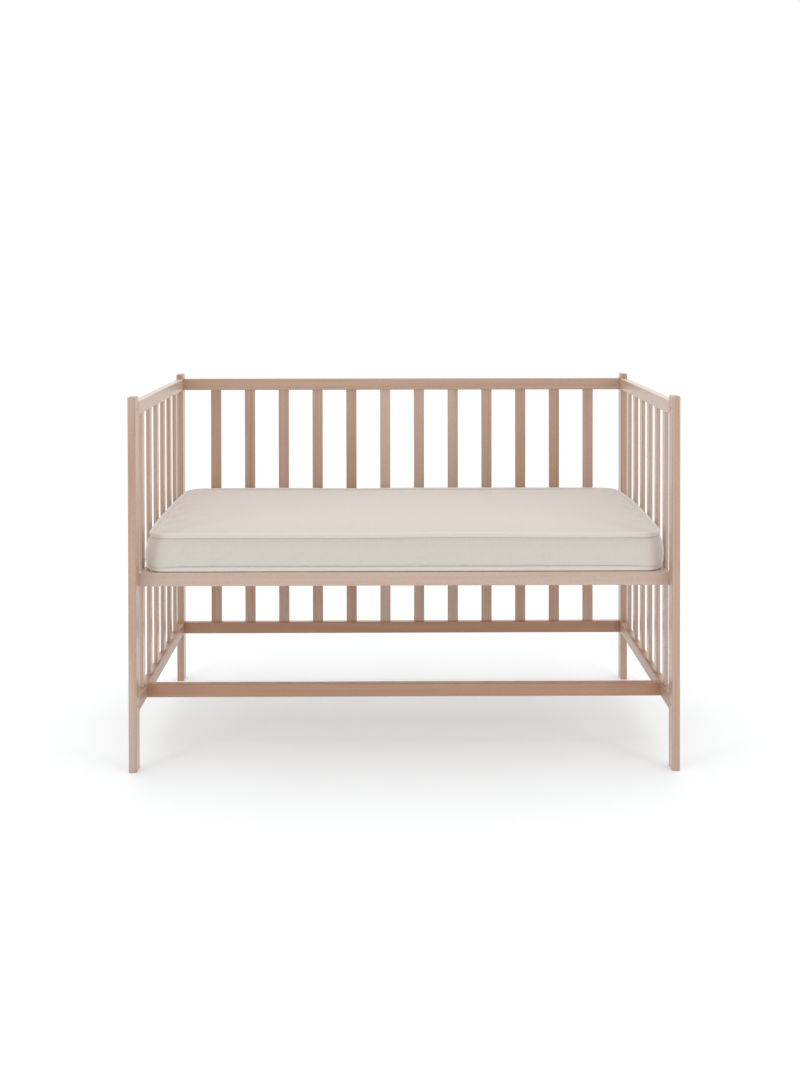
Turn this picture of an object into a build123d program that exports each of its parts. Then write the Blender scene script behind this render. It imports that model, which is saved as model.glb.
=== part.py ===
from build123d import *
import os

# A child's cot in solid beech: two end panels and a back panel of flat upright bars, an open
# front, a low stretcher, a slatted mattress base that bolts to the posts, and a foam mattress.
# X runs along the cot, -Y is the open front, Z is up. The origin is on the floor, in the middle.

# ---- the whole cot ----
length = 1230.0
width = 660.0
height = 838.0

# ---- timber ----
post_thickness = 18.0          # along X
post_depth = 38.0              # along Y
post_round = 3.0
rail_thickness = 18.0
rail_height = 31.0
rail_round = 2.5
bar_width = 28.0
bar_thickness = 9.0
bar_round = 2.4
slat_width = 60.0
slat_thickness = 9.0
slat_round = 1.0

# ---- heights and spacing ----
top_rail_drop = 13.0           # top of the posts to the top of the upper rails
bottom_rail_z = 127.0          # floor to the underside of the lower rails
base_z = 407.0                 # floor to the underside of the mattress base
stretcher_setback = 122.0      # front face of the posts to the front face of the stretcher
back_end_gap = 74.0            # clear gap between a back post and the first bar
back_bar_count = 12
end_bar_count = 6
slat_count = 10

# ---- joinery ----
mortise_depth = 12.0
glue_gap = 0.1                 # around a bar in its mortise, and around a dowel
dowel_radius = 4.0
dowel_length = 28.0
dowel_chamfer = 0.8
dowel_offset = 8.0             # dowel above or below the middle of its rail
dowel_web = 1.0                # timber left between the end of a dowel and the head of a bolt
housing_width = 9.0            # depth of the housings for the slats in the long base rails
slat_end_gap = 0.5             # around the end of a slat in its housing
base_side_gap = 1.0            # side rails of the base to the inner faces of the end panels
base_end_gap = 1.0             # long rails of the base to the outer faces of the end panels

# ---- hardware ----
bolt_radius = 3.0
bolt_fit = 0.25                # around a bolt in timber
bolt_spare = 2.0               # depth of a bolt's hole beyond its end
thread_fit = 0.05              # around a bolt in its nut or insert
head_radius = 6.5
head_height = 3.0
head_fit = 0.4
head_round = 0.8
hex_radius = 2.3               # corner radius of the 4 mm hexagon socket
hex_depth = 2.0
frame_bolt_length = 60.0
base_bolt_length = 42.0
nut_radius = 5.0
nut_length = 14.0
nut_inset = 35.0               # end of a rail to the middle of its barrel nut
nut_slot = 1.2
hardware_fit = 0.1             # around a barrel nut or an insert in timber
insert_radius = 4.5
insert_length = 13.0
side_hole_radius = 3.5         # holes in the front posts for the bolts of the front side
screw_radius = 1.8
screw_head_radius = 3.6
screw_head_height = 2.2
screw_length = 22.0
screw_recess = 0.3
screw_fit = 0.05
cross_slot = 0.9               # width of the cross in a screw's head
cross_reach = 2.4              # length of the cross, in radii of the screw

# ---- mattress ----
mattress_end_gap = 5.0         # mattress to the end panels
mattress_side_gap = 2.0        # mattress to the planes of the posts' inner edges
mattress_height = 88.0
mattress_lift = 0.3            # mattress above its base
mattress_corner = 46.0
cover_thickness = 3.0
piping_radius = 4.0
piping_gap = 0.15
piping_rise = 0.5              # bottom piping above the underside of the cover
zip_length = 880.0
zip_width = 16.0
zip_thickness = 1.2
zip_teeth_width = 5.0
zip_teeth_thickness = 0.8
slider_size = (9.0, 2.6, 12.0)
slider_round = 2.0
pull_size = (4.0, 1.2, 20.0)
pull_round = 1.5

# ---- planes that several pieces share ----
half_length = length / 2
half_width = width / 2
inner_x = half_length - post_thickness
inner_y = half_width - post_depth
panel_x = half_length - post_thickness / 2
back_y = half_width - post_depth / 2
top_rail_z = height - top_rail_drop - rail_height
base_top = base_z + rail_height
stretcher_y = -half_width + stretcher_setback + rail_thickness / 2
base_long_y = inner_y - rail_thickness / 2
base_inner_y = inner_y - rail_thickness
base_side_x = inner_x - base_side_gap - rail_thickness / 2
base_inner_x = base_side_x - rail_thickness / 2
nut_recess = (rail_thickness - nut_length) / 2
end_dowel_x = half_length - head_height - dowel_web - dowel_length / 2
rail_levels = {"top": top_rail_z, "bottom": bottom_rail_z}
sides = {"left": -1, "right": 1}
faces = {"front": -1, "back": 1}


# ---- shared shapes ----
def block(x, y, z):
    """A plain block. x, y and z are (low, high) pairs."""
    size = [pair[1] - pair[0] for pair in (x, y, z)]
    middle = [(pair[0] + pair[1]) / 2 for pair in (x, y, z)]
    return Pos(*middle) * Box(*size)


def stick(x, y, z, run, rounding):
    """A block with the four edges along its run rounded."""
    piece = block(x, y, z)
    return fillet(piece.edges().filter_by(run), rounding)


def around(middle, size):
    """The (low, high) pair of a size laid about a middle."""
    return (middle - size / 2, middle + size / 2)


def ordered(a, b):
    return (min(a, b), max(a, b))


def aim(shape, at, direction):
    """Turns a shape made along +Z from the origin to start at a point and run in a direction.
    Its X axis then lies along the cot, or across it where the direction itself is along it."""
    across = (0, 1, 0) if direction[0] else (1, 0, 0)
    return Plane(origin=at, x_dir=across, z_dir=direction).location * shape


def rod(radius, run):
    """A cylinder from the origin up +Z."""
    return Pos(0, 0, run / 2) * Cylinder(radius, run)


def save(name, *solids):
    """Writes one node. Each solid of a group stays separate."""
    shape = solids[0] if len(solids) == 1 else Compound(children=list(solids))
    export_step(shape, f"parts/{name}.step")


# ---- hardware, each made along +Z with its head or outer end at the origin ----
def bolt(run):
    """Hexagon socket furniture bolt. Its flat head lies flush in the timber."""
    head = rod(head_radius, head_height)
    head = fillet(head.edges().group_by(Axis.Z)[0], head_round)
    socket = extrude(RegularPolygon(hex_radius, 6), hex_depth)
    return head + rod(bolt_radius, run) - socket


def bolt_hole(run):
    """Counterbore and clearance hole, a little deeper than the bolt is long."""
    shank = rod(bolt_radius + bolt_fit, run + bolt_spare)
    return rod(head_radius + head_fit, head_height) + shank


def barrel_nut():
    """Cross dowel with its threaded hole across it and a slot in its outer end. It lies below
    the face of its rail, so that its thread lines up with the bolt."""
    body = rod(nut_radius, nut_length)
    across = 3 * nut_radius        # longer than the nut is wide, so both cuts run right through
    thread = Rot(0, 90, 0) * Cylinder(bolt_radius + thread_fit, across)
    slot = Box(nut_slot, across, 2 * nut_slot)
    return Pos(0, 0, nut_recess) * (body - Pos(0, 0, nut_length / 2) * thread - slot)


def nut_hole():
    return rod(nut_radius + hardware_fit, nut_recess + nut_length + hardware_fit)


def insert():
    """Threaded insert, a plain sleeve that is flush with the face of its post."""
    return rod(insert_radius, insert_length) - rod(bolt_radius + thread_fit, insert_length)


def dowel():
    """Beech dowel, half in each of the two pieces that it joins."""
    pin = Cylinder(dowel_radius, dowel_length)
    return chamfer(pin.edges().filter_by(GeomType.CIRCLE), dowel_chamfer)


def dowel_hole():
    return Cylinder(dowel_radius + glue_gap, dowel_length + 2 * glue_gap)


def screw(grow=0.0):
    """Countersunk screw. With grow it is the hole that the screw fills."""
    head = Pos(0, 0, screw_head_height / 2) * Cone(
        screw_head_radius + grow, screw_radius + grow, screw_head_height)
    return head + rod(screw_radius + grow, screw_length + grow)


def slat_screw():
    cross = Box(cross_slot, cross_reach * screw_radius, screw_head_height)
    return screw() - cross - Rot(0, 0, 90) * cross


# ---- where the hardware goes: (point, direction) pairs ----
def rail_middle(z):
    return z + rail_height / 2


frame_bolt_places = []         # heads on the outer faces of the end panels
nut_places = []                # outer ends on the rails' back faces
for side in sides.values():
    inward = (-side, 0, 0)
    nut_x = side * (inner_x - nut_inset)
    for y, levels in ((back_y, rail_levels.values()), (stretcher_y, [bottom_rail_z])):
        nut_y = y + rail_thickness / 2
        for z in levels:
            frame_bolt_places.append(((side * half_length, y, rail_middle(z)), inward))
            nut_places.append(((nut_x, nut_y, rail_middle(z)), (0, -1, 0)))

dowel_places = []              # middles of the dowels
for side in sides.values():
    for face in faces.values():
        for z in rail_levels.values():
            for step in (-dowel_offset, dowel_offset):
                at = (side * panel_x, face * inner_y, rail_middle(z) + step)
                dowel_places.append((at, (0, 1, 0)))
        for step in (-dowel_offset, dowel_offset):
            at = (side * base_side_x, face * base_inner_y, rail_middle(base_z) + step)
            dowel_places.append((at, (0, 1, 0)))
    for y, z in ((back_y, top_rail_z), (back_y, bottom_rail_z), (stretcher_y, bottom_rail_z)):
        at = (side * end_dowel_x, y, rail_middle(z) - dowel_offset - bolt_fit)
        dowel_places.append((at, (1, 0, 0)))

base_bolt_places = []          # heads on the inner faces of the long base rails
insert_places = []
for side in sides.values():
    for face in faces.values():
        outward = (0, face, 0)
        head = (side * panel_x, face * (base_inner_y - head_height), rail_middle(base_z))
        base_bolt_places.append((head, outward))
        insert_places.append(((side * panel_x, face * inner_y, rail_middle(base_z)), outward))


def put(make, places):
    """One piece, made afresh, at each place."""
    return [aim(make(), at, direction) for at, direction in places]


frame_bolt_holes = put(lambda: bolt_hole(frame_bolt_length), frame_bolt_places)
nut_holes = put(nut_hole, nut_places)
dowel_holes = put(dowel_hole, dowel_places)
base_bolt_holes = put(lambda: bolt_hole(base_bolt_length), base_bolt_places)
insert_holes = put(lambda: rod(insert_radius + hardware_fit, insert_length + hardware_fit),
                   insert_places)


def drilled(piece, *groups):
    """Cuts only the holes that reach into the piece."""
    box = piece.bounding_box()
    for hole in [hole for group in groups for hole in group]:
        other = hole.bounding_box()
        apart = any(
            low >= high
            for low, high in (
                (box.min.X, other.max.X), (other.min.X, box.max.X),
                (box.min.Y, other.max.Y), (other.min.Y, box.max.Y),
                (box.min.Z, other.max.Z), (other.min.Z, box.max.Z),
            )
        )
        if not apart:
            piece = piece - hole
    return piece


# ---- bars and their mortises ----
def bar(x, y, z, grow=0.0):
    """A flat upright bar between two heights, thin along X or along Y. x and y are sizes about
    their middles, as (middle, size). With grow it is the mortise that the bar fills."""
    return stick(around(x[0], x[1] + 2 * grow), around(y[0], y[1] + 2 * grow),
                 (z[0] - grow, z[1] + grow), Axis.Z, bar_round + grow)


bar_span = (bottom_rail_z + rail_height - mortise_depth, top_rail_z + mortise_depth)
end_bar_pitch = (2 * inner_y - end_bar_count * bar_width) / (end_bar_count + 1) + bar_width
end_bar_ys = [(i - (end_bar_count - 1) / 2) * end_bar_pitch for i in range(end_bar_count)]
first_back_x = inner_x - back_end_gap - bar_width / 2
back_bar_pitch = 2 * first_back_x / (back_bar_count - 1)
back_bar_xs = [-first_back_x + i * back_bar_pitch for i in range(back_bar_count)]


def end_bars(side, grow=0.0):
    return [bar((side * panel_x, bar_thickness), (y, bar_width), bar_span, grow)
            for y in end_bar_ys]


def back_bars(grow=0.0):
    return [bar((x, bar_width), (back_y, bar_thickness), bar_span, grow) for x in back_bar_xs]


os.makedirs("parts", exist_ok=True)

# ---- end panels: two posts, two rails and six bars each ----
for side_name, side in sides.items():
    x = ordered(side * inner_x, side * half_length)
    for face_name, face in faces.items():
        y = ordered(face * inner_y, face * half_width)
        post = block(x, y, (0, height))
        post = fillet(post.edges().filter_by(Axis.Z) + post.edges().group_by(Axis.Z)[-1],
                      post_round)
        post = drilled(post, frame_bolt_holes, dowel_holes, base_bolt_holes, insert_holes)
        if face_name == "front":
            for z in rail_levels.values():
                at = (side * inner_x, face * back_y, rail_middle(z))
                post = post - aim(rod(side_hole_radius, post_thickness), at, (side, 0, 0))
        save(f"{side_name}_{face_name}_post", post)

    mortises = end_bars(side, glue_gap)
    for level, z in rail_levels.items():
        rail = stick(x, (-inner_y, inner_y), (z, z + rail_height), Axis.Y, rail_round)
        rail = drilled(rail, mortises, frame_bolt_holes, dowel_holes)
        save(f"{side_name}_{level}_rail", rail)

    for i, piece in enumerate(end_bars(side), 1):
        save(f"{side_name}_bar_{i}", piece)

# ---- back panel: two rails between the back posts, and twelve bars ----
mortises = back_bars(glue_gap)
for level, z in rail_levels.items():
    rail = stick((-inner_x, inner_x), around(back_y, rail_thickness), (z, z + rail_height),
                 Axis.X, rail_round)
    save(f"back_{level}_rail", drilled(rail, mortises, frame_bolt_holes, nut_holes, dowel_holes))
for i, piece in enumerate(back_bars(), 1):
    save(f"back_bar_{i}", piece)

# ---- low stretcher between the end panels, set back from the open front ----
stretcher = stick((-inner_x, inner_x), around(stretcher_y, rail_thickness),
                  (bottom_rail_z, bottom_rail_z + rail_height), Axis.X, rail_round)
save("front_stretcher", drilled(stretcher, frame_bolt_holes, nut_holes, dowel_holes))

# ---- mattress base: a bolted frame with slats let into its long rails ----
base_levels = (base_z, base_top)
slat_bottom = base_top - slat_thickness
base_end_x = half_length - base_end_gap
slat_reach = base_inner_y + housing_width
slat_gap = (2 * base_inner_x - slat_count * slat_width) / (slat_count + 1)
slat_xs = [-base_inner_x + slat_gap + slat_width / 2 + i * (slat_width + slat_gap)
           for i in range(slat_count)]
screw_places = [((x, face * (base_inner_y + housing_width / 2), base_top - screw_recess),
                 (0, 0, -1)) for x in slat_xs for face in faces.values()]
screw_holes = [aim(screw(screw_fit), at, direction) + aim(
    rod(screw_head_radius + screw_fit, screw_recess), (at[0], at[1], base_top), direction)
    for at, direction in screw_places]

for face_name, face in faces.items():
    rail = stick((-base_end_x, base_end_x), around(face * base_long_y, rail_thickness),
                 base_levels, Axis.X, rail_round)
    for x in slat_xs:
        rail = rail - block(around(x, slat_width + 2 * slat_end_gap),
                            ordered(face * base_inner_y, face * slat_reach),
                            (slat_bottom, base_top))
    rail = drilled(rail, base_bolt_holes, dowel_holes, screw_holes)
    save(f"base_{face_name}_rail", rail)

for side_name, side in sides.items():
    rail = stick(around(side * base_side_x, rail_thickness), (-base_inner_y, base_inner_y),
                 base_levels, Axis.Y, rail_round)
    save(f"base_{side_name}_rail", drilled(rail, dowel_holes))

for i, x in enumerate(slat_xs, 1):
    slat = stick(around(x, slat_width), (-slat_reach + slat_end_gap, slat_reach - slat_end_gap),
                 (slat_bottom, base_top), Axis.Y, slat_round)
    save(f"base_slat_{i}", drilled(slat, screw_holes))

# ---- fasteners, each kind as one group ----
save("frame_bolts", *put(lambda: bolt(frame_bolt_length), frame_bolt_places))
save("barrel_nuts", *put(barrel_nut, nut_places))
save("dowels", *put(dowel, dowel_places))
save("base_bolts", *put(lambda: bolt(base_bolt_length), base_bolt_places))
save("threaded_inserts", *put(insert, insert_places))
save("slat_screws", *put(slat_screw, screw_places))

# ---- mattress: foam core, sewn cover, piping round both seams, zip at the back ----
piping_x = inner_x - mattress_end_gap - piping_radius
piping_y = inner_y - mattress_side_gap - piping_radius
cover_x = piping_x - piping_radius - piping_gap
cover_y = piping_y - piping_radius - piping_gap
mattress_z = base_top + mattress_lift
mattress_top = mattress_z + mattress_height


def pad(inset, z):
    """A slab with round corners, the plan of the cover less an inset, between two heights."""
    plan = RectangleRounded(2 * (cover_x - inset), 2 * (cover_y - inset), mattress_corner - inset)
    return Pos(0, 0, z[0]) * extrude(plan, z[1] - z[0])


core_levels = (mattress_z + cover_thickness, mattress_top - cover_thickness)
save("mattress_core", pad(cover_thickness, core_levels))
save("mattress_cover",
     pad(0, (mattress_z, core_levels[0])),
     pad(0, core_levels) - pad(cover_thickness, core_levels),
     pad(0, (core_levels[1], mattress_top)))


def piping(z):
    """A cord round the plan of the cover, just outside it."""
    corner = mattress_corner + piping_gap + piping_radius
    path = Pos(0, 0, z) * RectangleRounded(2 * piping_x, 2 * piping_y, corner).wire()
    return sweep(Plane(origin=path @ 0, z_dir=path % 0) * Circle(piping_radius), path)


save("mattress_piping",
     piping(mattress_z + piping_rise + piping_radius),
     piping(mattress_top - piping_radius))

zip_z = mattress_z + mattress_height / 2
tape_y = (cover_y, cover_y + zip_thickness)
teeth_y = (tape_y[1], tape_y[1] + zip_teeth_thickness)
slider_x = -zip_length / 2 + slider_size[0]
slider_y = (teeth_y[1], teeth_y[1] + slider_size[1])
pull_top = zip_z - slider_size[2] / 4
save("cover_zip",
     block(around(0, zip_length), tape_y, around(zip_z, zip_width)),
     block(around(0, zip_length - zip_width), teeth_y, around(zip_z, zip_teeth_width)),
     stick(around(slider_x, slider_size[0]), slider_y, around(zip_z, slider_size[2]),
           Axis.Y, slider_round),
     stick(around(slider_x, pull_size[0]), (slider_y[1], slider_y[1] + pull_size[1]),
           (pull_top - pull_size[2], pull_top), Axis.Y, pull_round))
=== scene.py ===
import math
import random

import bmesh
import bpy
import numpy as np
from mathutils import Matrix, Vector, noise
from mathutils.bvhtree import BVHTree


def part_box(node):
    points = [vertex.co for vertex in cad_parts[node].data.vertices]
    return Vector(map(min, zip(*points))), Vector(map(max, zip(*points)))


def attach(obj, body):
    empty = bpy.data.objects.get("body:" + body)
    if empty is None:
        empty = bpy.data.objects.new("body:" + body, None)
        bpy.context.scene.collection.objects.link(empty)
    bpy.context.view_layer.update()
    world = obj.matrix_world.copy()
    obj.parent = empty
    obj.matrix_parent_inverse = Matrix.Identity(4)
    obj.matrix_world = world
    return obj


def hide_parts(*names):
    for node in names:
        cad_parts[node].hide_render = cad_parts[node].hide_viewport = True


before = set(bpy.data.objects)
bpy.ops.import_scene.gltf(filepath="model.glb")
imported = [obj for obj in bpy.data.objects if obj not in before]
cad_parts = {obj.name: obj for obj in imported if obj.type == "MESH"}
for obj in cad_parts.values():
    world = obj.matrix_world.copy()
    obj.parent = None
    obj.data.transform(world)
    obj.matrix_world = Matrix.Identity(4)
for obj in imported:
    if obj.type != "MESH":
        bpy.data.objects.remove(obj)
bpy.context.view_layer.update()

# ---------------------------------------------------------------- camera
# The cot is looked at square on, by a nearly level camera at chest height, about 2.7 m in front of
# its front posts. The picture is shifted down, so that upright posts stay upright.
front_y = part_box("left_front_post")[0].y
camera_aside = -0.0269
camera_away = 2.7359
camera_height = 1.1097
turn = math.radians(-0.369)
tilt = math.radians(90 - 0.679)
roll = math.radians(-0.077)
camera = bpy.data.objects.new("camera", bpy.data.cameras.new("camera"))
camera.data.sensor_width = 36
camera.data.lens = 41.3
camera.data.shift_y = -0.2312
camera.matrix_world = (
    Matrix.Translation((camera_aside, front_y - camera_away, camera_height))
    @ Matrix.Rotation(turn, 4, "Z")
    @ Matrix.Rotation(tilt, 4, "X")
    @ Matrix.Rotation(roll, 4, "Z")
)
bpy.context.scene.collection.objects.link(camera)
bpy.context.scene.camera = camera

# ---------------------------------------------------------------- posts, rails and stretcher
# Four posts and the rails between them, planed from solid beech, with rounded arrises and a
# thin satin lacquer. Beech is pinkish tan and even, with faint rings and short brown flecks.


def step(tree, kind, links=(), **settings):
    """Adds one shader node. links gives each socket a value, or another node's output."""
    made = tree.nodes.new("ShaderNode" + kind)
    for name, value in settings.items():
        setattr(made, name, value)
    for key, value in dict(links).items():
        if isinstance(value, bpy.types.NodeSocket):
            tree.links.new(value, made.inputs[key])
        else:
            made.inputs[key].default_value = value
    return made


def calc(tree, operation, *values):
    """One sum on numbers."""
    return step(tree, "Math", enumerate(values), operation=operation).outputs[0]


def stretch(tree, vector, *scale):
    """A vector multiplied along X, Y and Z."""
    return step(tree, "VectorMath", {0: vector, 1: scale}, operation="MULTIPLY").outputs[0]


def speckle(tree, vector, detail=2.0, rough=0.5):
    """Noise from 0 to 1."""
    made = step(tree, "TexNoise", {"Vector": vector, "Scale": 1.0, "Detail": detail, "Roughness": rough})
    return made.outputs["Fac"]


def ease(tree, value, low, high):
    """0 below low and 1 above high, with a smooth step between them. low may be the larger."""
    made = step(tree, "MapRange", {"Value": value, "From Min": low, "From Max": high},
                interpolation_type="SMOOTHSTEP")
    return made.outputs[0]


def blend(tree, share, first, second):
    """A colour between two colours."""
    made = step(tree, "Mix", data_type="RGBA")
    for socket, value in zip((made.inputs[0], made.inputs[6], made.inputs[7]), (share, first, second)):
        if isinstance(value, bpy.types.NodeSocket):
            tree.links.new(value, socket)
        else:
            socket.default_value = value
    return made.outputs[2]


def effect(name, inputs, outputs):
    """A shader node group. inputs and outputs give each socket's kind. Returns its tree, what
    it is given by name, and a function that sends a result out by name."""
    tree = bpy.data.node_groups.new(name, "ShaderNodeTree")
    for label, kind in inputs.items():
        tree.interface.new_socket(name=label, in_out="INPUT", socket_type="NodeSocket" + kind)
    for label, kind in outputs.items():
        tree.interface.new_socket(name=label, in_out="OUTPUT", socket_type="NodeSocket" + kind)
    source = tree.nodes.new("NodeGroupInput")
    target = tree.nodes.new("NodeGroupOutput")
    return tree, source.outputs, lambda label, value: tree.links.new(value, target.inputs[label])


def finish_of(name):
    """A new material: its tree, its Principled shader and its object coordinates."""
    made = bpy.data.materials.new(name)
    made.use_nodes = True
    tree = made.node_tree
    return made, tree, tree.nodes["Principled BSDF"], step(tree, "TexCoord").outputs


def place_effect(tree, group, links):
    """Puts a shader node group into a material."""
    made = step(tree, "Group")
    made.node_tree = group
    for key, value in links.items():
        if isinstance(value, bpy.types.NodeSocket):
            tree.links.new(value, made.inputs[key])
        else:
            made.inputs[key].default_value = value
    return made.outputs


# Wood grain along Z, in metres. Facing is the surface's direction, so that end grain shows dark.
# The Edge input darkens the faces across X and across Y: painted shade on the narrow faces.
grain, given, send = effect(
    "beech_grain",
    {"Along": "Vector", "Facing": "Vector", "Shade": "Float", "Flecks": "Float", "Edge": "Vector"},
    {"Color": "Color", "Roughness": "Float", "Height": "Float"},
)
ring_width = 0.0031
slow = speckle(grain, stretch(grain, given["Along"], 7, 7, 0.9), detail=1.0)
heart = step(grain, "VectorMath", {0: given["Along"], 1: (0.05, 0.11, 0)}, operation="ADD").outputs[0]
from_heart = stretch(grain, heart, 1, 1, 0)
radius = step(grain, "VectorMath", {0: from_heart}, operation="LENGTH").outputs["Value"]
radius = calc(grain, "MULTIPLY_ADD", slow, 0.016, radius)
wave = calc(grain, "SINE", calc(grain, "MULTIPLY", radius, 2 * math.pi / ring_width))
ring = calc(grain, "POWER", calc(grain, "MULTIPLY_ADD", wave, 0.5, 0.5), 3.0)
streak = speckle(grain, stretch(grain, given["Along"], 85, 85, 1.6), detail=3.0, rough=0.6)
fibre = speckle(grain, stretch(grain, given["Along"], 1300, 1300, 26), detail=2.0)
cell_place = stretch(grain, given["Along"], 480, 480, 110)
cells = step(grain, "TexVoronoi", {"Vector": cell_place, "Scale": 1.0})
chosen = step(grain, "SeparateColor", {0: cells.outputs["Color"]}).outputs[0]
fleck = calc(grain, "MULTIPLY", ease(grain, cells.outputs["Distance"], 0.30, 0.14),
             calc(grain, "GREATER_THAN", chosen, 0.35))
fleck = calc(grain, "MULTIPLY", fleck, given["Flecks"])
cut = step(grain, "SeparateXYZ", {0: given["Facing"]}).outputs[2]
end = ease(grain, calc(grain, "ABSOLUTE", cut), 0.70, 0.92)
depth = calc(grain, "MULTIPLY_ADD", ring, 0.26, given["Shade"])
depth = calc(grain, "MULTIPLY_ADD", calc(grain, "SUBTRACT", streak, 0.5), 0.95, depth)
depth = calc(grain, "MULTIPLY_ADD", calc(grain, "SUBTRACT", fibre, 0.5), 0.30, depth)
# Painted shade: the faces across X and Y are darkened by the amount the Edge input gives.
faces = step(grain, "VectorMath", {0: given["Facing"]}, operation="ABSOLUTE").outputs[0]
painted_edge_shade = step(grain, "VectorMath", {0: faces, 1: given["Edge"]}, operation="DOT_PRODUCT").outputs["Value"]
depth = calc(grain, "ADD", depth, painted_edge_shade)
wood = blend(grain, ease(grain, depth, -0.25, 1.25), (0.585, 0.435, 0.345, 1), (0.41, 0.205, 0.108, 1))
wood = blend(grain, calc(grain, "MULTIPLY", fleck, 0.45), wood, (0.27, 0.135, 0.075, 1))
wood = blend(grain, calc(grain, "MULTIPLY", end, 0.42), wood, (0.36, 0.20, 0.12, 1))
send("Color", wood)
rough = calc(grain, "MULTIPLY_ADD", fibre, 0.12, 0.40)
rough = calc(grain, "MULTIPLY_ADD", end, 0.14, calc(grain, "MULTIPLY_ADD", fleck, 0.06, rough))
send("Roughness", rough)
relief = calc(grain, "MULTIPLY_ADD", ring, 0.35, calc(grain, "MULTIPLY", fibre, 0.5))
send("Height", calc(grain, "MULTIPLY_ADD", fleck, -0.45, relief))

to_grain = {"X": (0, math.radians(90), 0), "Y": (math.radians(90), 0, 0), "Z": (0, 0, 0)}


def beech(name, run, shade, flecks=1.0, lacquer=1.0, edge=(0, 0, 0)):
    """A board of beech with its grain along run, cut from its own place in the log."""
    made, tree, shader, seen = finish_of(name)
    place = random.Random(name)
    away = tuple(place.uniform(-3, 3) for _ in range(3))
    turned = to_grain[run]
    along = step(tree, "Mapping", {"Vector": seen["Object"], "Location": away, "Rotation": turned})
    facing = step(tree, "Mapping", {"Vector": seen["Normal"], "Rotation": turned}, vector_type="NORMAL")
    board = place_effect(tree, grain, {
        "Along": along.outputs[0],
        "Facing": facing.outputs[0],
        "Shade": shade,
        "Flecks": flecks,
        "Edge": edge,
    })
    bump = step(tree, "Bump", {"Strength": 0.55, "Distance": 0.00012, "Height": board["Height"]})
    tree.links.new(board["Color"], shader.inputs["Base Color"])
    tree.links.new(board["Roughness"], shader.inputs["Roughness"])
    tree.links.new(bump.outputs[0], shader.inputs["Normal"])
    shader.inputs["Coat Weight"].default_value = lacquer
    shader.inputs["Coat Roughness"].default_value = 0.32
    return made


def clad(node, material):
    """Gives a CAD piece its finish."""
    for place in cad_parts[node].material_slots:
        place.material = material


post_tones = {"left_front": 0.34, "left_back": 0.64, "right_front": 0.34, "right_back": 0.54}
for side in ("left", "right"):
    for face in ("front", "back"):
        post = f"{side}_{face}_post"
        clad(post, beech(post, "Z", post_tones[f"{side}_{face}"]))
    # The end top rails are made paler as painted sheen, and the end bottom rails darker as painted shade.
    clad(f"{side}_top_rail", beech(f"{side}_top_rail", "Y", 0.02))
    clad(f"{side}_bottom_rail", beech(f"{side}_bottom_rail", "Y", 0.50, lacquer=0.5))
clad("back_top_rail", beech("back_top_rail", "X", 0.42))
# The back bottom rail and the stretcher are made darker and browner as painted shade, for the shade under
# the mattress.
clad("back_bottom_rail", beech("back_bottom_rail", "X", 1.10))
clad("front_stretcher", beech("front_stretcher", "X", 1.00))

# ---------------------------------------------------------------- bars
# Flat upright bars, glued into mortises in the rails, six in each end panel and twelve in the
# back. Each is ripped from a different board, so they differ a little in tone. The narrow faces
# of the end bars are darkened as painted shade, more at the left end than at the right.
end_bar_tones = (-0.12, 0.04, 0.02, 0.08, 0.22, 0.20)
# Painted shade on the narrow faces of the end bars, stronger at the left end.
painted_edge_shade_by_side = {"left": (0, 0.38, 0), "right": (0, 0.20, 0)}
back_bar_tones = (0.56, 0.52, 0.40, 0.40, 0.58, -0.08, 0.28, 0.30, 0.38, 0.50, 0.54, 0.30)
for i, tone in enumerate(end_bar_tones, 1):
    for side in ("left", "right"):
        bar = f"{side}_bar_{i}"
        clad(bar, beech(bar, "Z", tone, edge=painted_edge_shade_by_side[side]))
for i, tone in enumerate(back_bar_tones, 1):
    bar = f"back_bar_{i}"
    clad(bar, beech(bar, "Z", tone))

# ---------------------------------------------------------------- mattress base
# Four rails, and ten planed slats let into housings in the long ones and screwed down. The
# rails are lacquered as the frame is. The slats are left bare, so they are paler and duller.
for face in ("front", "back"):
    rail = f"base_{face}_rail"
    clad(rail, beech(rail, "X", 0.0))
for side in ("left", "right"):
    rail = f"base_{side}_rail"
    clad(rail, beech(rail, "Y", 0.34))
for i in range(1, 11):
    slat = f"base_slat_{i}"
    clad(slat, beech(slat, "Y", 0.12 + 0.05 * (i % 4), flecks=0.8, lacquer=0.0))
clad("dowels", beech("dowels", "Z", 0.20, flecks=0.6, lacquer=0.0))

# ---------------------------------------------------------------- bolts, nuts, inserts and screws
# Hexagon socket bolts, cross dowels and screws in bright zinc-plated steel, and threaded
# inserts in turned brass. Plating is slightly clouded, and turning leaves faint rings.
worn, given, send = effect(
    "metal_clouding",
    {"Along": "Vector", "Cloud size": "Float", "Roughness": "Float"},
    {"Roughness": "Float", "Shade": "Float", "Height": "Float"},
)
cloudy = step(worn, "TexNoise", {"Vector": given["Along"], "Scale": given["Cloud size"], "Detail": 4.0})
clouds = cloudy.outputs["Fac"]
scratches = speckle(worn, stretch(worn, given["Along"], 900, 900, 9000), detail=1.0)
send("Shade", calc(worn, "MULTIPLY_ADD", clouds, 0.30, 0.82))
send("Roughness", calc(worn, "MULTIPLY_ADD", clouds, 0.22, given["Roughness"]))
send("Height", scratches)


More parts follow.
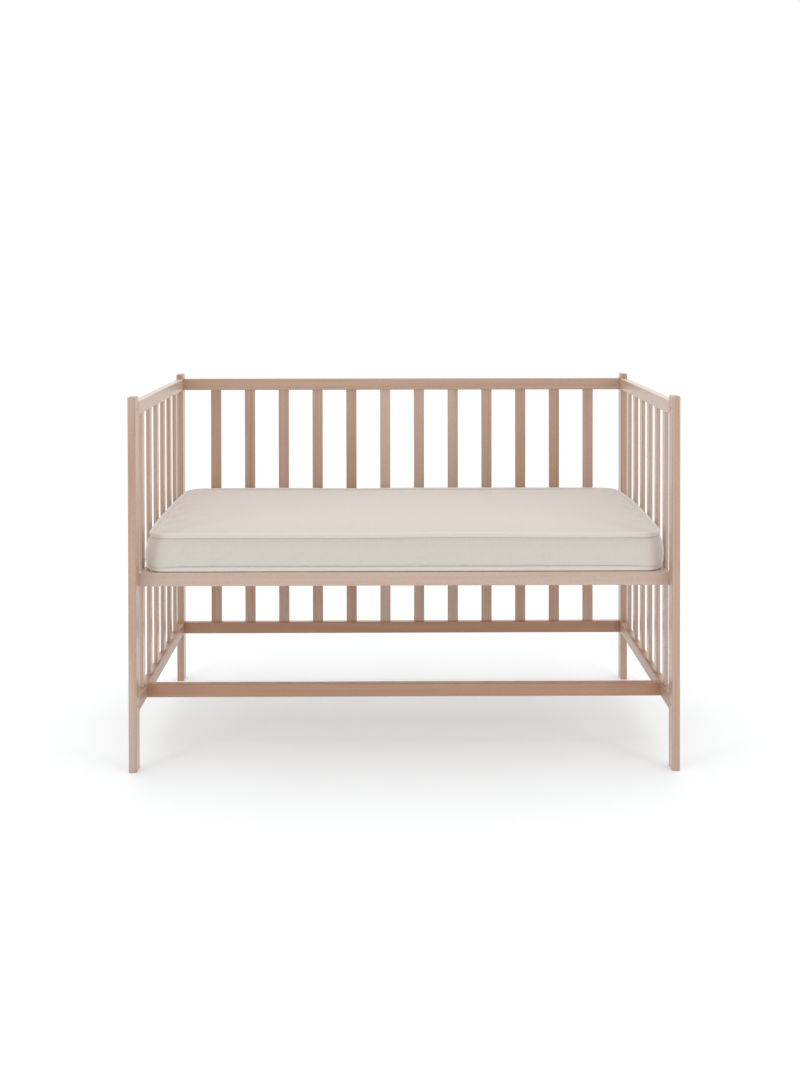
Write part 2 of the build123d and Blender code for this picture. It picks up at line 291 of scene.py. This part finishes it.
def plated(name, color, cloud_size, rough):
    """Bare or plated metal of one colour, clouded and finely scratched."""
    made, tree, shader, seen = finish_of(name)
    look = place_effect(
        tree, worn, {"Along": seen["Object"], "Cloud size": cloud_size, "Roughness": rough})
    shaded = step(tree, "VectorMath", {0: color, "Scale": look["Shade"]}, operation="SCALE")
    bump = step(tree, "Bump", {"Strength": 0.3, "Distance": 0.00003, "Height": look["Height"]})
    tree.links.new(shaded.outputs[0], shader.inputs["Base Color"])
    tree.links.new(look["Roughness"], shader.inputs["Roughness"])
    tree.links.new(bump.outputs[0], shader.inputs["Normal"])
    shader.inputs["Metallic"].default_value = 1.0
    return made


zinc = plated("zinc_plate", (0.62, 0.64, 0.66), 400.0, 0.24)
for node in ("frame_bolts", "base_bolts", "barrel_nuts", "slat_screws"):
    clad(node, zinc)
clad("threaded_inserts", plated("turned_brass", (0.78, 0.58, 0.28), 300.0, 0.26))

# ---------------------------------------------------------------- mattress core
# A block of open-cell foam that fills the cover. It is cut with rounded corners and eased
# edges, and shows only when the zip is open.
cover_low, cover_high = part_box("mattress_cover")
core_low, core_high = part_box("mattress_core")
corner_radius = 0.042


def oblong(half_x, half_y, radius, spacing):
    """Points round an oblong with round corners, counterclockwise, about spacing apart."""
    points = []
    run_x = 2 * (half_x - radius)
    run_y = 2 * (half_y - radius)
    runs = ((-run_x, 0), (0, -run_y), (run_x, 0), (0, run_y))
    arc_steps = max(4, round(radius * math.pi / 2 / spacing))
    for quarter in range(4):
        sign_x, sign_y = ((1, 1), (-1, 1), (-1, -1), (1, -1))[quarter]
        middle = Vector((sign_x * (half_x - radius), sign_y * (half_y - radius)))
        for k in range(arc_steps + 1):
            angle = math.pi / 2 * (quarter + k / arc_steps)
            points.append(middle + radius * Vector((math.cos(angle), math.sin(angle))))
        corner = points[-1]
        run = Vector(runs[quarter])
        straight_steps = max(1, round(run.length / spacing))
        points += [corner + run * (k / straight_steps) for k in range(1, straight_steps)]
    return points


def new_piece(name, mesh, *materials):
    """A mesh as an object of the scene, shaded smooth."""
    for material in materials:
        mesh.materials.append(material)
    mesh.polygons.foreach_set("use_smooth", [True] * len(mesh.polygons))
    made = bpy.data.objects.new(name, mesh)
    bpy.context.scene.collection.objects.link(made)
    return made


def slab(name, outline, low, high, ease_width=0.0):
    """A flat block over an outline. With ease_width its upper and lower edges are rounded."""
    shape = bmesh.new()
    floor = [shape.verts.new((p.x, p.y, low)) for p in outline]
    lid = [shape.verts.new((p.x, p.y, high)) for p in outline]
    shape.faces.new(list(reversed(floor)))
    shape.faces.new(lid)
    for k in range(len(outline)):
        following = (k + 1) % len(outline)
        shape.faces.new((floor[k], floor[following], lid[following], lid[k]))
    if ease_width:
        rims = [e for e in shape.edges if abs(e.verts[0].co.z - e.verts[1].co.z) < 1e-6]
        bmesh.ops.bevel(shape, geom=rims, offset=ease_width, segments=3, affect="EDGES")
    mesh = bpy.data.meshes.new(name)
    shape.to_mesh(mesh)
    shape.free()
    return mesh


foam, tree, shader, seen = finish_of("foam")
pores = step(tree, "TexVoronoi", {"Vector": seen["Object"], "Scale": 900.0})
# The hollows of the pores are darker: painted shade.
open_cell = ease(tree, pores.outputs["Distance"], 0.15, 0.5)
foam_color = blend(tree, open_cell, (0.52, 0.48, 0.34, 1), (0.80, 0.77, 0.62, 1))
tree.links.new(foam_color, shader.inputs["Base Color"])
bump = step(tree, "Bump", {"Strength": 0.7, "Distance": 0.0006, "Height": open_cell})
tree.links.new(bump.outputs[0], shader.inputs["Normal"])
shader.inputs["Roughness"].default_value = 0.95
core_inset = 0.016
core_outline = oblong(core_high.x - core_inset, core_high.y - core_inset, corner_radius - 0.006, 0.02)
core_block = slab("foam_core", core_outline, core_low.z + 0.004, core_high.z - 0.014, 0.006)
core = new_piece("foam_core", core_block, foam)
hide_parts("mattress_core")
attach(core, "mattress")

# ---------------------------------------------------------------- mattress cover
# A boxed cover in ecru linen and cotton: two panels and a border, sewn together over the foam.
# The filling swells each panel between its seams, and the lower corners draw up a little.
piping_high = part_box("mattress_piping")[1]
piping_radius = 0.0056
seam_x = piping_high.x - 0.0062
seam_y = piping_high.y - 0.0055
seat_z = cover_low.z
seam_low = seat_z + 0.0052
seam_high = cover_high.z - 0.0087


def to_seam(x, y):
    """For points on or in the cover, the nearest point of its outline and the distance to it."""
    over_x = np.abs(x) - (seam_x - corner_radius)
    over_y = np.abs(y) - (seam_y - corner_radius)
    in_corner = (over_x > 0) & (over_y > 0)
    length = np.maximum(np.hypot(over_x, over_y), 1e-9)
    near_x = np.where(in_corner, seam_x - corner_radius + over_x / length * corner_radius,
                      np.where(over_x > over_y, seam_x, np.abs(x)))
    near_y = np.where(in_corner, seam_y - corner_radius + over_y / length * corner_radius,
                      np.where(over_x > over_y, np.abs(y), seam_y))
    near_x, near_y = near_x * np.sign(x), near_y * np.sign(y)
    return near_x, near_y, np.hypot(x - near_x, y - near_y)


def ripple(x, y, per_metre, layer):
    """Smooth noise from -1 to 1 over a plan, for each point of two arrays."""
    return np.array([noise.noise((a * per_metre, b * per_metre, layer)) for a, b in zip(x, y)])


def corner_share(x, y, reach, sign_x=0, sign_y=0):
    """1 at the corners of the cover, falling to 0 within reach of them. The signs choose one."""
    away = np.hypot(np.abs(x) - seam_x, np.abs(y) - seam_y)
    share = np.clip(1 - (away - 0.018) / reach, 0, 1)
    share = share * share * (3 - 2 * share)
    if sign_x:
        share = share * (x * sign_x > 0)
    if sign_y:
        share = share * (y * sign_y > 0)
    return share


border_taper = 0.0085          # the upper seam stands in from the lower one
right_slack = 0.0045           # but less at the right end
right_stretch = 0.0012         # which the cover also reaches past
end_bow_low = 0.0020           # the ends bow outward at the bottom
end_bow_more = 0.0065          # and this much more at the top
back_right_pull = 0.006        # the upper corner at the back on the right is pulled in
corner_lift = 0.0020           # each lower corner draws up
front_left_lift = 0.0050       # and the front left one more
lift_from = 0.560              # only this far from the middle and beyond
lift_run = 0.027
seam_wander = 0.0022           # the upper seam rises and falls
back_rise = 0.006              # and lies higher at the back


def settle(points):
    """Where the cover's points come to lie: the upper seam is drawn in, the ends bow outward,
    the seams wander, and the lower corners draw up."""
    x, y, z = points.T.copy()
    up = np.clip((z - seam_low) / (seam_high - seam_low), 0, 1)
    upper = up * up * (3 - 2 * up)
    frontness = 0.5 - y / (2 * seam_y)
    end = np.clip(np.abs(x) / seam_x, 0, 1.1) ** 6
    bow = 1 - np.clip(np.abs(y) / seam_y, 0, 1) ** 2
    drawn_in = border_taper * upper
    slack = np.where(x > 0, right_slack, 0.0) * upper
    back_right = corner_share(x, y, 0.16, 1, 1) * upper
    outermost = np.clip((np.abs(x) - lift_from) / lift_run, 0, 1) ** 2
    front_left = corner_share(x, y, 0.06, -1, -1)
    lift = corner_lift * corner_share(x, y, 0.06) + front_left_lift * front_left
    lift = lift * outermost * (1 - up)
    near_x, near_y, inward = to_seam(x, y)
    wander = ripple(near_x, near_y, 4.5, 3.1) * np.exp(-(inward / 0.05) ** 2)
    z = z + lift + (seam_wander * wander + back_rise * (1 - frontness)) * up
    narrowed = x * (1 - (drawn_in - slack) / seam_x)
    reached = right_stretch * np.clip(x / seam_x, 0, 1) ** 2
    bowed = np.sign(x) * end * bow * (end_bow_low + end_bow_more * upper)
    x = narrowed + reached + bowed - back_right_pull * back_right
    y = y + drawn_in * frontness - back_right_pull * back_right
    return np.stack((x, y, z), 1)


def applied(piece):
    """Replaces a piece's mesh with the one that its modifiers make."""
    graph = bpy.context.evaluated_depsgraph_get()
    result = bpy.data.meshes.new_from_object(piece.evaluated_get(graph))
    piece.modifiers.clear()
    piece.data = result


def points_of(piece):
    """A piece's points, one row each."""
    flat = np.empty(len(piece.data.vertices) * 3)
    piece.data.vertices.foreach_get("co", flat)
    return flat.reshape(-1, 3)


def move_points(piece, points):
    """Puts a piece's points in new places."""
    piece.data.vertices.foreach_set("co", points.ravel())
    piece.data.update()


pad_outline = oblong(seam_x, seam_y, corner_radius, 0.008)
pad = new_piece("mattress_pad", slab("mattress_pad", pad_outline, seam_low, seam_high))
remesh = pad.modifiers.new("remesh", "REMESH")
remesh.mode = "VOXEL"
remesh.voxel_size = 0.0075
applied(pad)
flat_points = points_of(pad)
_, _, from_outline = to_seam(flat_points[:, 0], flat_points[:, 1])
by_seam = np.minimum(np.abs(flat_points[:, 2] - seam_low), np.abs(flat_points[:, 2] - seam_high))
seam_reach = 0.005
held = (from_outline < seam_reach) & (by_seam < seam_reach)
group = pad.vertex_groups.new(name="seams")
group.add([int(i) for i in np.flatnonzero(held)], 1.0, "REPLACE")
cloth = pad.modifiers.new("cloth", "CLOTH")
cloth.settings.effector_weights.gravity = 0.0
cloth.settings.use_pressure = True
cloth.settings.uniform_pressure_force = 4.0
cloth.settings.vertex_group_mass = "seams"
cloth.settings.quality = 4
cloth.collision_settings.use_collision = False
for moment in range(1, 21):
    bpy.context.scene.frame_set(moment)
applied(pad)
bpy.context.scene.frame_set(1)
swell = points_of(pad) - flat_points
swell_limit = 0.0095
size = np.maximum(np.linalg.norm(swell, axis=1, keepdims=True), 1e-9)
move_points(pad, flat_points + swell / size * swell_limit * np.tanh(size / swell_limit))
smooth = pad.modifiers.new("finer", "SUBSURF")
smooth.levels = smooth.render_levels = 1
applied(pad)

fine = points_of(pad)
near_x, near_y, inward = to_seam(fine[:, 0], fine[:, 1])
by_top = np.hypot(inward, fine[:, 2] - seam_high)
by_bottom = np.hypot(inward, fine[:, 2] - seam_low)
by_seam = np.minimum(by_top, by_bottom)
pucker = ripple(near_x, near_y, 62.0, 0.4) + 0.6 * ripple(near_x, near_y, 27.0, 7.9)
normals = np.empty(len(pad.data.vertices) * 3)
pad.data.vertices.foreach_get("normal", normals)
normals = normals.reshape(-1, 3)
level = np.clip((fine[:, 2] - seam_low) / (seam_high - seam_low), 0, 1)
border_share = np.clip(1.6 * (1 - np.abs(normals[:, 2])), 0, 1)
top_share = np.clip(normals[:, 2], 0, 1)
pucker_height = 0.0010         # puckers along both seams
wave_height = 0.0016           # slow waves in the panels
groove_depth = 0.0016          # the border dips under the upper piping
roll_height = 0.0032           # the top panel rolls up beside its piping
foot_height = 0.0030           # the border swells above the lower piping
corner_bulge = 0.0115          # and rounds out at the corners
crown_height = 0.005           # the top panel is crowned


def ridge(distance, middle, width):
    """1 at one distance from a seam, fading to 0 on both sides of it."""
    return np.exp(-((distance - middle) / width) ** 2)


relief = pucker_height * pucker * ridge(by_seam, 0.016, 0.010)
relief += wave_height * ripple(fine[:, 0], fine[:, 1], 5.5, 2.0) * np.clip(inward / 0.1, 0, 1)
relief -= groove_depth * ridge(by_top, 0.0, 0.006) * border_share
relief += roll_height * ridge(by_top, 0.010, 0.006) * top_share
relief += foot_height * ridge(by_bottom, 0.009, 0.005) * border_share
rounded_out = np.sin(math.pi * level) ** 0.7
relief += corner_bulge * corner_share(near_x, near_y, 0.07) * border_share * rounded_out
fine = fine + normals * relief[:, None]
across_x = 1 - np.clip(np.abs(fine[:, 0]) / seam_x, 0, 1) ** 2
across_y = 1 - np.clip(np.abs(fine[:, 1]) / seam_y, 0, 1) ** 2
fine[:, 2] += crown_height * across_x ** 0.5 * across_y * top_share
fine = settle(fine)
fine[:, 2] = np.maximum(fine[:, 2], seat_z)
move_points(pad, fine)

# The cloth: a plain weave of slubby threads, drawn on whichever plane a surface faces.
weave, given, send = effect(
    "plain_weave",
    {"Along": "Vector", "Facing": "Vector", "Thread": "Float", "Slub": "Float", "Pale": "Float"},
    {"Color": "Color", "Roughness": "Float", "Height": "Float"},
)
facing = step(weave, "SeparateXYZ", {0: given["Facing"]}).outputs
along = step(weave, "SeparateXYZ", {0: given["Along"]}).outputs
flat_lying = calc(weave, "GREATER_THAN", calc(weave, "ABSOLUTE", facing[2]), 0.6)
endwise = calc(weave, "GREATER_THAN", calc(weave, "ABSOLUTE", facing[0]), 0.72)
across = step(weave, "Mix", {0: endwise, 2: along[0], 3: along[1]}).outputs[0]
upward = step(weave, "Mix", {0: flat_lying, 2: along[2], 3: along[1]}).outputs[0]
threads = []
slubs = []
for n, (run, other) in enumerate(((across, upward), (upward, across))):
    along_thread = calc(weave, "MULTIPLY", run, 55.0)
    across_threads = calc(weave, "MULTIPLY", other, 1500.0)
    spread = step(weave, "CombineXYZ", {0: along_thread, 1: across_threads, 2: 7.3 * n}).outputs[0]
    slubs.append(speckle(weave, spread, detail=2.0))
    wobble = calc(weave, "MULTIPLY_ADD", slubs[-1], 0.9, calc(weave, "DIVIDE", other, given["Thread"]))
    threads.append(calc(weave, "SINE", calc(weave, "MULTIPLY", wobble, math.pi)))
over = calc(weave, "MULTIPLY", threads[0], threads[1])
height = calc(weave, "MULTIPLY_ADD", over, 0.5, 0.5)
height = calc(weave, "MULTIPLY_ADD", slubs[0], 0.7, calc(weave, "MULTIPLY_ADD", slubs[1], 0.5, height))
thick = calc(weave, "MULTIPLY", calc(weave, "ADD", slubs[0], slubs[1]), 0.5)
tone = calc(weave, "MULTIPLY", ease(weave, thick, 0.30, 0.72), given["Slub"])
patchy = speckle(weave, stretch(weave, given["Along"], 9, 9, 9), detail=2.0)
cloth_color = blend(weave, tone, (0.725, 0.665, 0.61, 1), (0.60, 0.54, 0.48, 1))
# The low places of the weave, between the threads, are darkened: painted shade.
between = calc(weave, "MULTIPLY", ease(weave, over, 0.2, -0.8), 0.35)
cloth_color = blend(weave, between, cloth_color, (0.52, 0.46, 0.40, 1))
cloth_color = blend(weave, calc(weave, "MULTIPLY", patchy, 0.10), cloth_color, (0.60, 0.545, 0.49, 1))
send("Color", blend(weave, given["Pale"], cloth_color, (0.86, 0.82, 0.78, 1)))
send("Roughness", calc(weave, "MULTIPLY_ADD", thick, 0.12, 0.80))
send("Height", height)


def linen(name, thread, slub, depth, pale=0.0):
    """Ecru cloth with threads of one width."""
    made, tree, shader, seen = finish_of(name)
    cloth_look = place_effect(tree, weave, {
        "Along": seen["Object"], "Facing": seen["Normal"], "Thread": thread, "Slub": slub, "Pale": pale})
    bump = step(tree, "Bump", {"Strength": 0.6, "Distance": depth, "Height": cloth_look["Height"]})
    tree.links.new(cloth_look["Color"], shader.inputs["Base Color"])
    tree.links.new(cloth_look["Roughness"], shader.inputs["Roughness"])
    tree.links.new(bump.outputs[0], shader.inputs["Normal"])
    shader.inputs["Sheen Weight"].default_value = 0.25
    shader.inputs["Sheen Roughness"].default_value = 0.45
    return made


cover_linen = linen("cover_linen", 0.00075, 0.45, 0.00022)
pad.data.materials.clear()
pad.data.materials.append(cover_linen)
pad.data.polygons.foreach_set("use_smooth", [True] * len(pad.data.polygons))
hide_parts("mattress_cover")
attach(pad, "mattress")

# ---------------------------------------------------------------- piping
# Two cords in bias strips of the cover's cloth, caught in the seams that join the border to
# the panels. Each follows its seam all the way round.
piping_linen = linen("piping_linen", 0.00075, 0.35, 0.00018, pale=0.22)


def piping(name, z):
    """A closed tube along the seam at one height, flattened where it rests on the base."""
    outline = oblong(seam_x, seam_y, corner_radius, 0.004)
    middles = settle(np.array([(p.x, p.y, z) for p in outline]))
    count = len(middles)
    sides = 14
    shape = bmesh.new()
    rings = []
    for k in range(count):
        run = Vector(middles[(k + 1) % count] - middles[k - 1]).normalized()
        out = run.cross(Vector((0, 0, 1))).normalized()
        up = out.cross(run)
        ring = []
        for j in range(sides):
            angle = 2 * math.pi * j / sides
            twist = noise.noise((k * 0.55 + j * 0.9, j * 0.35, z * 50))
            reach = piping_radius * (1 + 0.05 * twist)
            point = Vector(middles[k]) + reach * (math.cos(angle) * out + math.sin(angle) * up)
            point.z = max(point.z, seat_z)
            ring.append(shape.verts.new(point))
        rings.append(ring)
    for k in range(count):
        ahead = rings[(k + 1) % count]
        for j in range(sides):
            shape.faces.new((rings[k][j], ahead[j], ahead[(j + 1) % sides], rings[k][(j + 1) % sides]))
    mesh = bpy.data.meshes.new(name)
    bmesh.ops.recalc_face_normals(shape, faces=shape.faces)
    shape.to_mesh(mesh)
    shape.free()
    made = new_piece(name, mesh, piping_linen)
    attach(made, "mattress")
    return made


upper_piping = piping("upper_piping", seam_high)
piping("lower_piping", seam_low)
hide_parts("mattress_piping")

# ---------------------------------------------------------------- zip
# A coil zip along the back of the border, for taking the cover off: two woven tapes, their
# interlocked coils, rows of stitching, and a slider with its pull.
zip_low, zip_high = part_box("cover_zip")
zip_z = (seam_low + seam_high) / 2
tape_half = 0.008
skin_points = [tuple(p) for p in points_of(pad)]
skin_faces = [tuple(f.vertices) for f in pad.data.polygons]
skin = BVHTree.FromPolygons(skin_points, skin_faces)


def on_border(x, z, proud):
    """A point on the back of the border, standing proud of it."""
    hit = skin.ray_cast(Vector((x, cover_high.y + 0.05, z)), Vector((0, -1, 0)))[0]
    return Vector((x, (hit.y if hit else cover_high.y) + proud, z))


def beads(name, places, size, material):
    """Many small rounded beads, each given by its middle and its long direction."""
    shape = bmesh.new()
    around = 6
    profile = ((-1.0, 0.35), (-0.72, 0.85), (0.0, 1.0), (0.72, 0.85), (1.0, 0.35))
    for middle, run in places:
        out = Vector((0, 1, 0))
        side = run.cross(out).normalized()
        rings = []
        for reach, width in profile:
            ring = []
            for j in range(around):
                angle = 2 * math.pi * j / around
                offset = run * (reach * size[0] / 2)
                offset = offset + side * (math.cos(angle) * width * size[1] / 2)
                offset = offset + out * (math.sin(angle) * width * size[2] / 2)
                ring.append(shape.verts.new(middle + offset))
            rings.append(ring)
        for ring, following in zip(rings, rings[1:]):
            for j in range(around):
                beside = (j + 1) % around
                shape.faces.new((ring[j], ring[beside], following[beside], following[j]))
        shape.faces.new(list(reversed(rings[0])))
        shape.faces.new(rings[-1])
    bmesh.ops.recalc_face_normals(shape, faces=shape.faces)
    mesh = bpy.data.meshes.new(name)
    shape.to_mesh(mesh)
    shape.free()
    return new_piece(name, mesh, material)


def moulded(name, color, rough):
    """Matt plastic or thread, slightly mottled."""
    made, tree, shader, seen = finish_of(name)
    mottle = speckle(tree, stretch(tree, seen["Object"], 600, 600, 600), detail=3.0)
    dark = tuple(0.82 * c for c in color) + (1,)
    tree.links.new(blend(tree, mottle, dark, color + (1,)), shader.inputs["Base Color"])
    tree.links.new(calc(tree, "MULTIPLY_ADD", mottle, 0.15, rough), shader.inputs["Roughness"])
    bump = step(tree, "Bump", {"Strength": 0.3, "Distance": 0.00004, "Height": mottle})
    tree.links.new(bump.outputs[0], shader.inputs["Normal"])
    return made


zip_half = (zip_high.x - zip_low.x) / 2
tape_steps = 220
tape_rows = (-1.0, -0.55, -0.12, 0.12, 0.55, 1.0)
shape = bmesh.new()
sheets = []
for proud in (0.0009, 0.0002):
    sheet = []
    for k in range(tape_steps + 1):
        x = -zip_half + 2 * zip_half * k / tape_steps
        sheet.append([shape.verts.new(on_border(x, zip_z + tape_half * row, proud)) for row in tape_rows])
    sheets.append(sheet)
top_sheet, under_sheet = sheets
last = len(tape_rows) - 1
for k in range(tape_steps):
    top, next_top = top_sheet[k], top_sheet[k + 1]
    under, next_under = under_sheet[k], under_sheet[k + 1]
    for r in range(last):
        shape.faces.new((top[r], next_top[r], next_top[r + 1], top[r + 1]))
        shape.faces.new((under[r], under[r + 1], next_under[r + 1], next_under[r]))
    shape.faces.new((top[0], under[0], next_under[0], next_top[0]))
    shape.faces.new((top[last], next_top[last], next_under[last], under[last]))
for k in (0, tape_steps):
    for r in range(last):
        shape.faces.new((top_sheet[k][r], top_sheet[k][r + 1], under_sheet[k][r + 1], under_sheet[k][r]))
bmesh.ops.recalc_face_normals(shape, faces=shape.faces)
mesh = bpy.data.meshes.new("zip_tape")
shape.to_mesh(mesh)
shape.free()
tape = new_piece("zip_tape", mesh, linen("zip_tape", 0.0005, 0.2, 0.0001))

coil_pitch = 0.0016
coil_margin = 0.01
teeth_places = []
for k in range(int(2 * (zip_half - coil_margin) / coil_pitch)):
    x = -zip_half + coil_margin + k * coil_pitch
    middle = on_border(x, zip_z + (0.0007 if k % 2 else -0.0007), 0.0015)
    teeth_places.append((middle, Vector((0.12, 0, 1)).normalized()))
coil_plastic = moulded("coil_plastic", (0.72, 0.66, 0.57), 0.40)
teeth = beads("zip_teeth", teeth_places, (0.0042, 0.00135, 0.0012), coil_plastic)

stitch_pitch = 0.0032
stitch_margin = 0.004
stitch_places = []
for row in (-0.72, 0.72):
    for k in range(int(2 * (zip_half - stitch_margin) / stitch_pitch)):
        x = -zip_half + stitch_margin + k * stitch_pitch
        stitch_places.append((on_border(x, zip_z + tape_half * row, 0.0010), Vector((1, 0, 0))))
thread = moulded("sewing_thread", (0.80, 0.76, 0.68), 0.65)
stitches = beads("zip_stitching", stitch_places, (0.0026, 0.0006, 0.0006), thread)

slider_x = -zip_half + 0.016


def pressed(name, outline, hole, thickness, middle, material):
    """A small plate with a rounded outline, bevelled all round, with or without a hole. It
    lies against the border."""
    curve = bpy.data.curves.new(name, "CURVE")
    curve.dimensions = "2D"
    curve.fill_mode = "BOTH"
    curve.bevel_depth = thickness * 0.3
    curve.bevel_resolution = 3
    curve.extrude = thickness * 0.2
    for points in (outline, hole):
        if not points:
            continue
        spline = curve.splines.new("POLY")
        spline.points.add(len(points) - 1)
        for target, (a, b) in zip(spline.points, points):
            target.co = (a, b, 0, 1)
        spline.use_cyclic_u = True
    holder = bpy.data.objects.new(name, curve)
    mesh = bpy.data.meshes.new_from_object(holder)
    bpy.data.objects.remove(holder)
    mesh.transform(Matrix.Translation(middle) @ Matrix.Rotation(math.radians(90), 4, "X"))
    return new_piece(name, mesh, material)


def rounded(half_width, half_height, square_x=1.0, square_z=1.0, drop=0.0, count=28):
    """Points round an oval. A square_x or square_z below 1 squares it off, and drop lowers it."""
    points = []
    for k in range(count):
        angle = 2 * math.pi * k / count
        across, up = math.cos(angle), math.sin(angle)
        points.append((
            half_width * math.copysign(abs(across) ** square_x, across),
            half_height * math.copysign(abs(up) ** square_z, up) - drop,
        ))
    return points


slider_metal = plated("zip_slider_metal", (0.66, 0.65, 0.62), 500.0, 0.28)
body_line = rounded(0.0036, 0.0052, 0.6, 0.8, count=28)
bridge_line = rounded(0.0013, 0.0036, count=20)
pull_line = rounded(0.0021, 0.0095, 0.7, 0.5, drop=0.0085, count=36)
eye_line = rounded(0.0011, 0.0018, drop=0.0018, count=16)
slider_seat = on_border(slider_x, zip_z, 0.0030)
bridge_seat = slider_seat + Vector((0, 0.0016, 0))
pull_seat = slider_seat + Vector((0, 0.0030, 0.001))
slider = pressed("zip_slider", body_line, (), 0.0022, slider_seat, slider_metal)
bridge = pressed("zip_slider_bridge", bridge_line, (), 0.0018, bridge_seat, slider_metal)
pull = pressed("zip_pull", pull_line, eye_line, 0.0011, pull_seat, slider_metal)
for part in (tape, teeth, stitches, slider, bridge, pull):
    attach(part, "mattress")
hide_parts("cover_zip")

# ---------------------------------------------------------------- studio
# A floor of white paper, lit a little from beneath, in a white surround. A soft box stands in
# front on each side, and a broad overhead light keeps the shadow under the cot soft.
paper, tree, shader, seen = finish_of("white_paper")
tooth = speckle(tree, stretch(tree, seen["Object"], 40, 40, 40))
paper_color = blend(tree, tooth, (0.725, 0.745, 0.76, 1), (0.74, 0.76, 0.775, 1))
tree.links.new(paper_color, shader.inputs["Base Color"])
shader.inputs["Roughness"].default_value = 0.9
shader.inputs["Specular IOR Level"].default_value = 0.1
shader.inputs["Emission Color"].default_value = (0.96, 1, 1, 1)
shader.inputs["Emission Strength"].default_value = 0.29
shape = bmesh.new()
bmesh.ops.create_grid(shape, x_segments=8, y_segments=8, size=9.0)
mesh = bpy.data.meshes.new("studio_floor")
shape.to_mesh(mesh)
shape.free()
floor = new_piece("studio_floor", mesh, paper)

surround = bpy.data.worlds.new("surround")
bpy.context.scene.world = surround
surround.use_nodes = True
sky = surround.node_tree
path = step(sky, "LightPath").outputs
seen_white = calc(sky, "MAXIMUM", path["Is Camera Ray"], path["Is Glossy Ray"])
fill = calc(sky, "MULTIPLY_ADD", seen_white, 0.43, 0.62)
sky.links.new(fill, sky.nodes["Background"].inputs["Strength"])
sky.nodes["Background"].inputs["Color"].default_value = (1, 1, 1, 1)


def studio_lamp(name, kind, place, target, **settings):
    """A studio light aimed at a point."""
    lamp = bpy.data.lights.new(name, kind)
    for key, value in settings.items():
        setattr(lamp, key, value)
    made = bpy.data.objects.new(name, lamp)
    made.location = place
    made.rotation_euler = (Vector(target) - Vector(place)).to_track_quat("-Z", "Y").to_euler()
    bpy.context.scene.collection.objects.link(made)


cot_middle = (0, 0, 0.5)
soft_box = {"shape": "RECTANGLE", "size": 0.7, "size_y": 1.1, "energy": 17, "color": (0.97, 0.99, 1.0)}
studio_lamp("left_soft_box", "AREA", (-2.9, -2.8, 1.8), cot_middle, **soft_box)
studio_lamp("right_soft_box", "AREA", (2.9, -2.8, 1.8), cot_middle, **soft_box)
studio_lamp("overhead_light", "SUN", (0, 0.8, 3.6), cot_middle, energy=1.25, angle=math.radians(85))
bpy.context.scene.view_settings.view_transform = "Standard"
